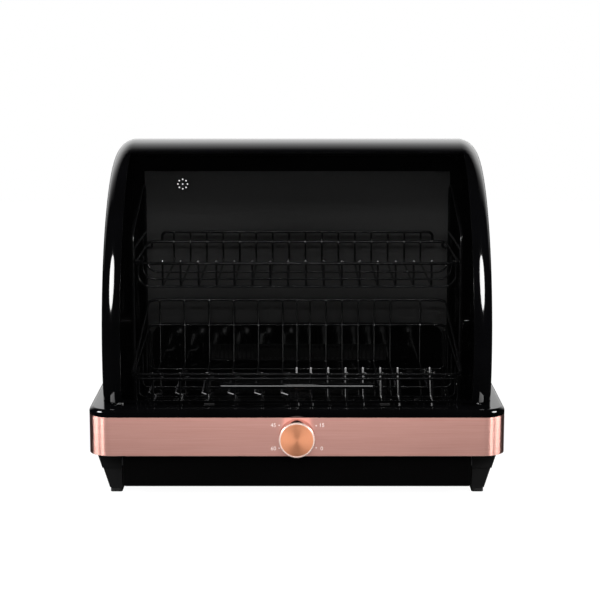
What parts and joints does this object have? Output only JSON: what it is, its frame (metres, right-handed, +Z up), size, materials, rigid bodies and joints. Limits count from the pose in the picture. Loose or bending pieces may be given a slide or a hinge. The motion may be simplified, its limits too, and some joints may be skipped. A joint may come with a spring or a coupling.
{
  "type": "dish sterilizer cabinet",
  "caption": "Worktop cabinet that dries and sterilizes dishes: a swing-up lid with a curved window over wire baskets, a metal-banded base with a timer knob, and a slide-out drip tray.",
  "frame": {"origin": "centre of the bounding box in plan, at the underside of the foot pads", "axes": "+Z up, +X to the right as seen from the front, the front with the knob faces -Y"},
  "size_m": [0.49, 0.389, 0.4],
  "materials": {
    "back_panel": "satin dark grey",
    "base_housing": "gloss moulded",
    "basin": "high gloss moulded",
    "basket_feet": "matte",
    "bottom_cover": "moulded",
    "cord_gland": "moulded",
    "drain_strainer": "pressed",
    "drip_tray": "gloss moulded",
    "duct_housing": "gloss moulded",
    "fan_impeller": "moulded",
    "fan_motor": "zinc plated",
    "fan_scroll": "moulded",
    "fan_shaft": "zinc plated",
    "feet": "moulded",
    "foot_pads": "matte",
    "handle_screws": "zinc plated",
    "heater_elements": "plain",
    "heater_frame": "heat resistant moulded",
    "hinge_bush_left": "moulded",
    "hinge_bush_right": "moulded",
    "hinge_pin_left": "zinc plated",
    "hinge_pin_right": "zinc plated",
    "intake_grille": "moulded",
    "knob": "rose tinted, turned",
    "knob_face": "copper tinted, spun",
    "lamp_ballast": "moulded",
    "lamp_shade": "gloss black",
    "lamp_socket_left": "moulded",
    "lamp_socket_right": "moulded",
    "lid_bumpers": "matte",
    "lid_frame": "high gloss moulded",
    "lid_handle": "gloss moulded",
    "lid_magnet": "moulded round a magnet",
    "lid_window": "clear smoked sheet",
    "lower_basket_rims": "gloss black coated wire",
    "lower_cross_wires": "gloss black coated wire",
    "lower_long_wires": "gloss black coated wire",
    "outlet_grille": "matte moulded",
    "panel_screws": "zinc plated",
    "rear_cover": "high gloss moulded",
    "reed_switch": "moulded",
    "side_frame_left": "gloss black coated wire",
    "side_frame_right": "gloss black coated wire",
    "terminal_block": "moulded",
    "thermostat": "moulded",
    "timer_body": "moulded",
    "timer_screws": "zinc plated",
    "timer_shaft": "zinc plated",
    "tray_rail_left": "zinc plated",
    "tray_rail_right": "zinc plated",
    "trim_band": "rose tinted, brushed lengthwise",
    "upper_basket_rims": "gloss black coated wire",
    "upper_cross_wires": "gloss black coated wire",
    "upper_long_wires": "gloss black coated wire",
    "uv_lamp": "clear quartz"
  },
  "bodies": {
    "cabinet": {"back_panel": "back_panel", "base_housing": "base_housing", "basin": "basin", "bottom_cover": "bottom_cover", "cord_gland": "cord_gland", "drain_strainer": "drain_strainer", "duct_housing": "duct_housing", "fan_motor": "fan_motor", "fan_scroll": "fan_scroll", "feet": "feet", "foot_pads": "foot_pads", "heater_elements": "heater_elements", "heater_frame": "heater_frame", "hinge_bush_left": "hinge_bush_left", "hinge_bush_right": "hinge_bush_right", "intake_grille": "intake_grille", "lamp_ballast": "lamp_ballast", "lamp_shade": "lamp_shade", "lamp_socket_left": "lamp_socket_left", "lamp_socket_right": "lamp_socket_right", "lid_bumpers": "lid_bumpers", "outlet_grille": "outlet_grille", "panel_screws": "panel_screws", "rear_cover": "rear_cover", "reed_switch": "reed_switch", "side_frame_left": "side_frame_left", "side_frame_right": "side_frame_right", "terminal_block": "terminal_block", "thermostat": "thermostat", "timer_body": "timer_body", "timer_screws": "timer_screws", "tray_rail_left": "tray_rail_left", "tray_rail_right": "tray_rail_right", "trim_band": "trim_band", "uv_lamp": "uv_lamp"},
    "lid": {"lid_frame": "lid_frame", "lid_window": "lid_window", "lid_handle": "lid_handle", "handle_screws": "handle_screws", "hinge_pin_left": "hinge_pin_left", "hinge_pin_right": "hinge_pin_right", "lid_magnet": "lid_magnet"},
    "timer_knob": {"knob": "knob", "knob_face": "knob_face", "timer_shaft": "timer_shaft"},
    "tray": {"drip_tray": "drip_tray"},
    "upper_basket": {"upper_basket_rims": "upper_basket_rims", "upper_cross_wires": "upper_cross_wires", "upper_long_wires": "upper_long_wires"},
    "lower_basket": {"lower_basket_rims": "lower_basket_rims", "lower_cross_wires": "lower_cross_wires", "lower_long_wires": "lower_long_wires", "basket_feet": "basket_feet"},
    "fan": {"fan_impeller": "fan_impeller", "fan_shaft": "fan_shaft"}
  },
  "joints": [
    {"name": "lid_hinge", "type": "hinge", "parent": "cabinet", "child": "lid", "pos_m": [0, 0.0915, 0.16], "axis": [-1, 0, 0], "range_deg": [0, 85]},
    {"name": "knob_turn", "type": "hinge", "parent": "cabinet", "child": "timer_knob", "pos_m": [0, -0.1755, 0.0725], "axis": [0, -1, 0], "range_deg": [0, 252]},
    {"name": "tray_slide", "type": "slide", "parent": "cabinet", "child": "tray", "axis": [0, -1, 0], "range_m": [0, 0.24]},
    {"name": "upper_basket_lift", "type": "slide", "parent": "cabinet", "child": "upper_basket", "axis": [0, 0, 1], "range_m": [0, 0.05]},
    {"name": "lower_basket_lift", "type": "slide", "parent": "cabinet", "child": "lower_basket", "axis": [0, 0, 1], "range_m": [0, 0.04]},
    {"name": "fan_spin", "type": "hinge", "parent": "cabinet", "child": "fan", "pos_m": [0, 0.1445, 0.05], "axis": [1, 0, 0], "continuous": true}
  ]
}
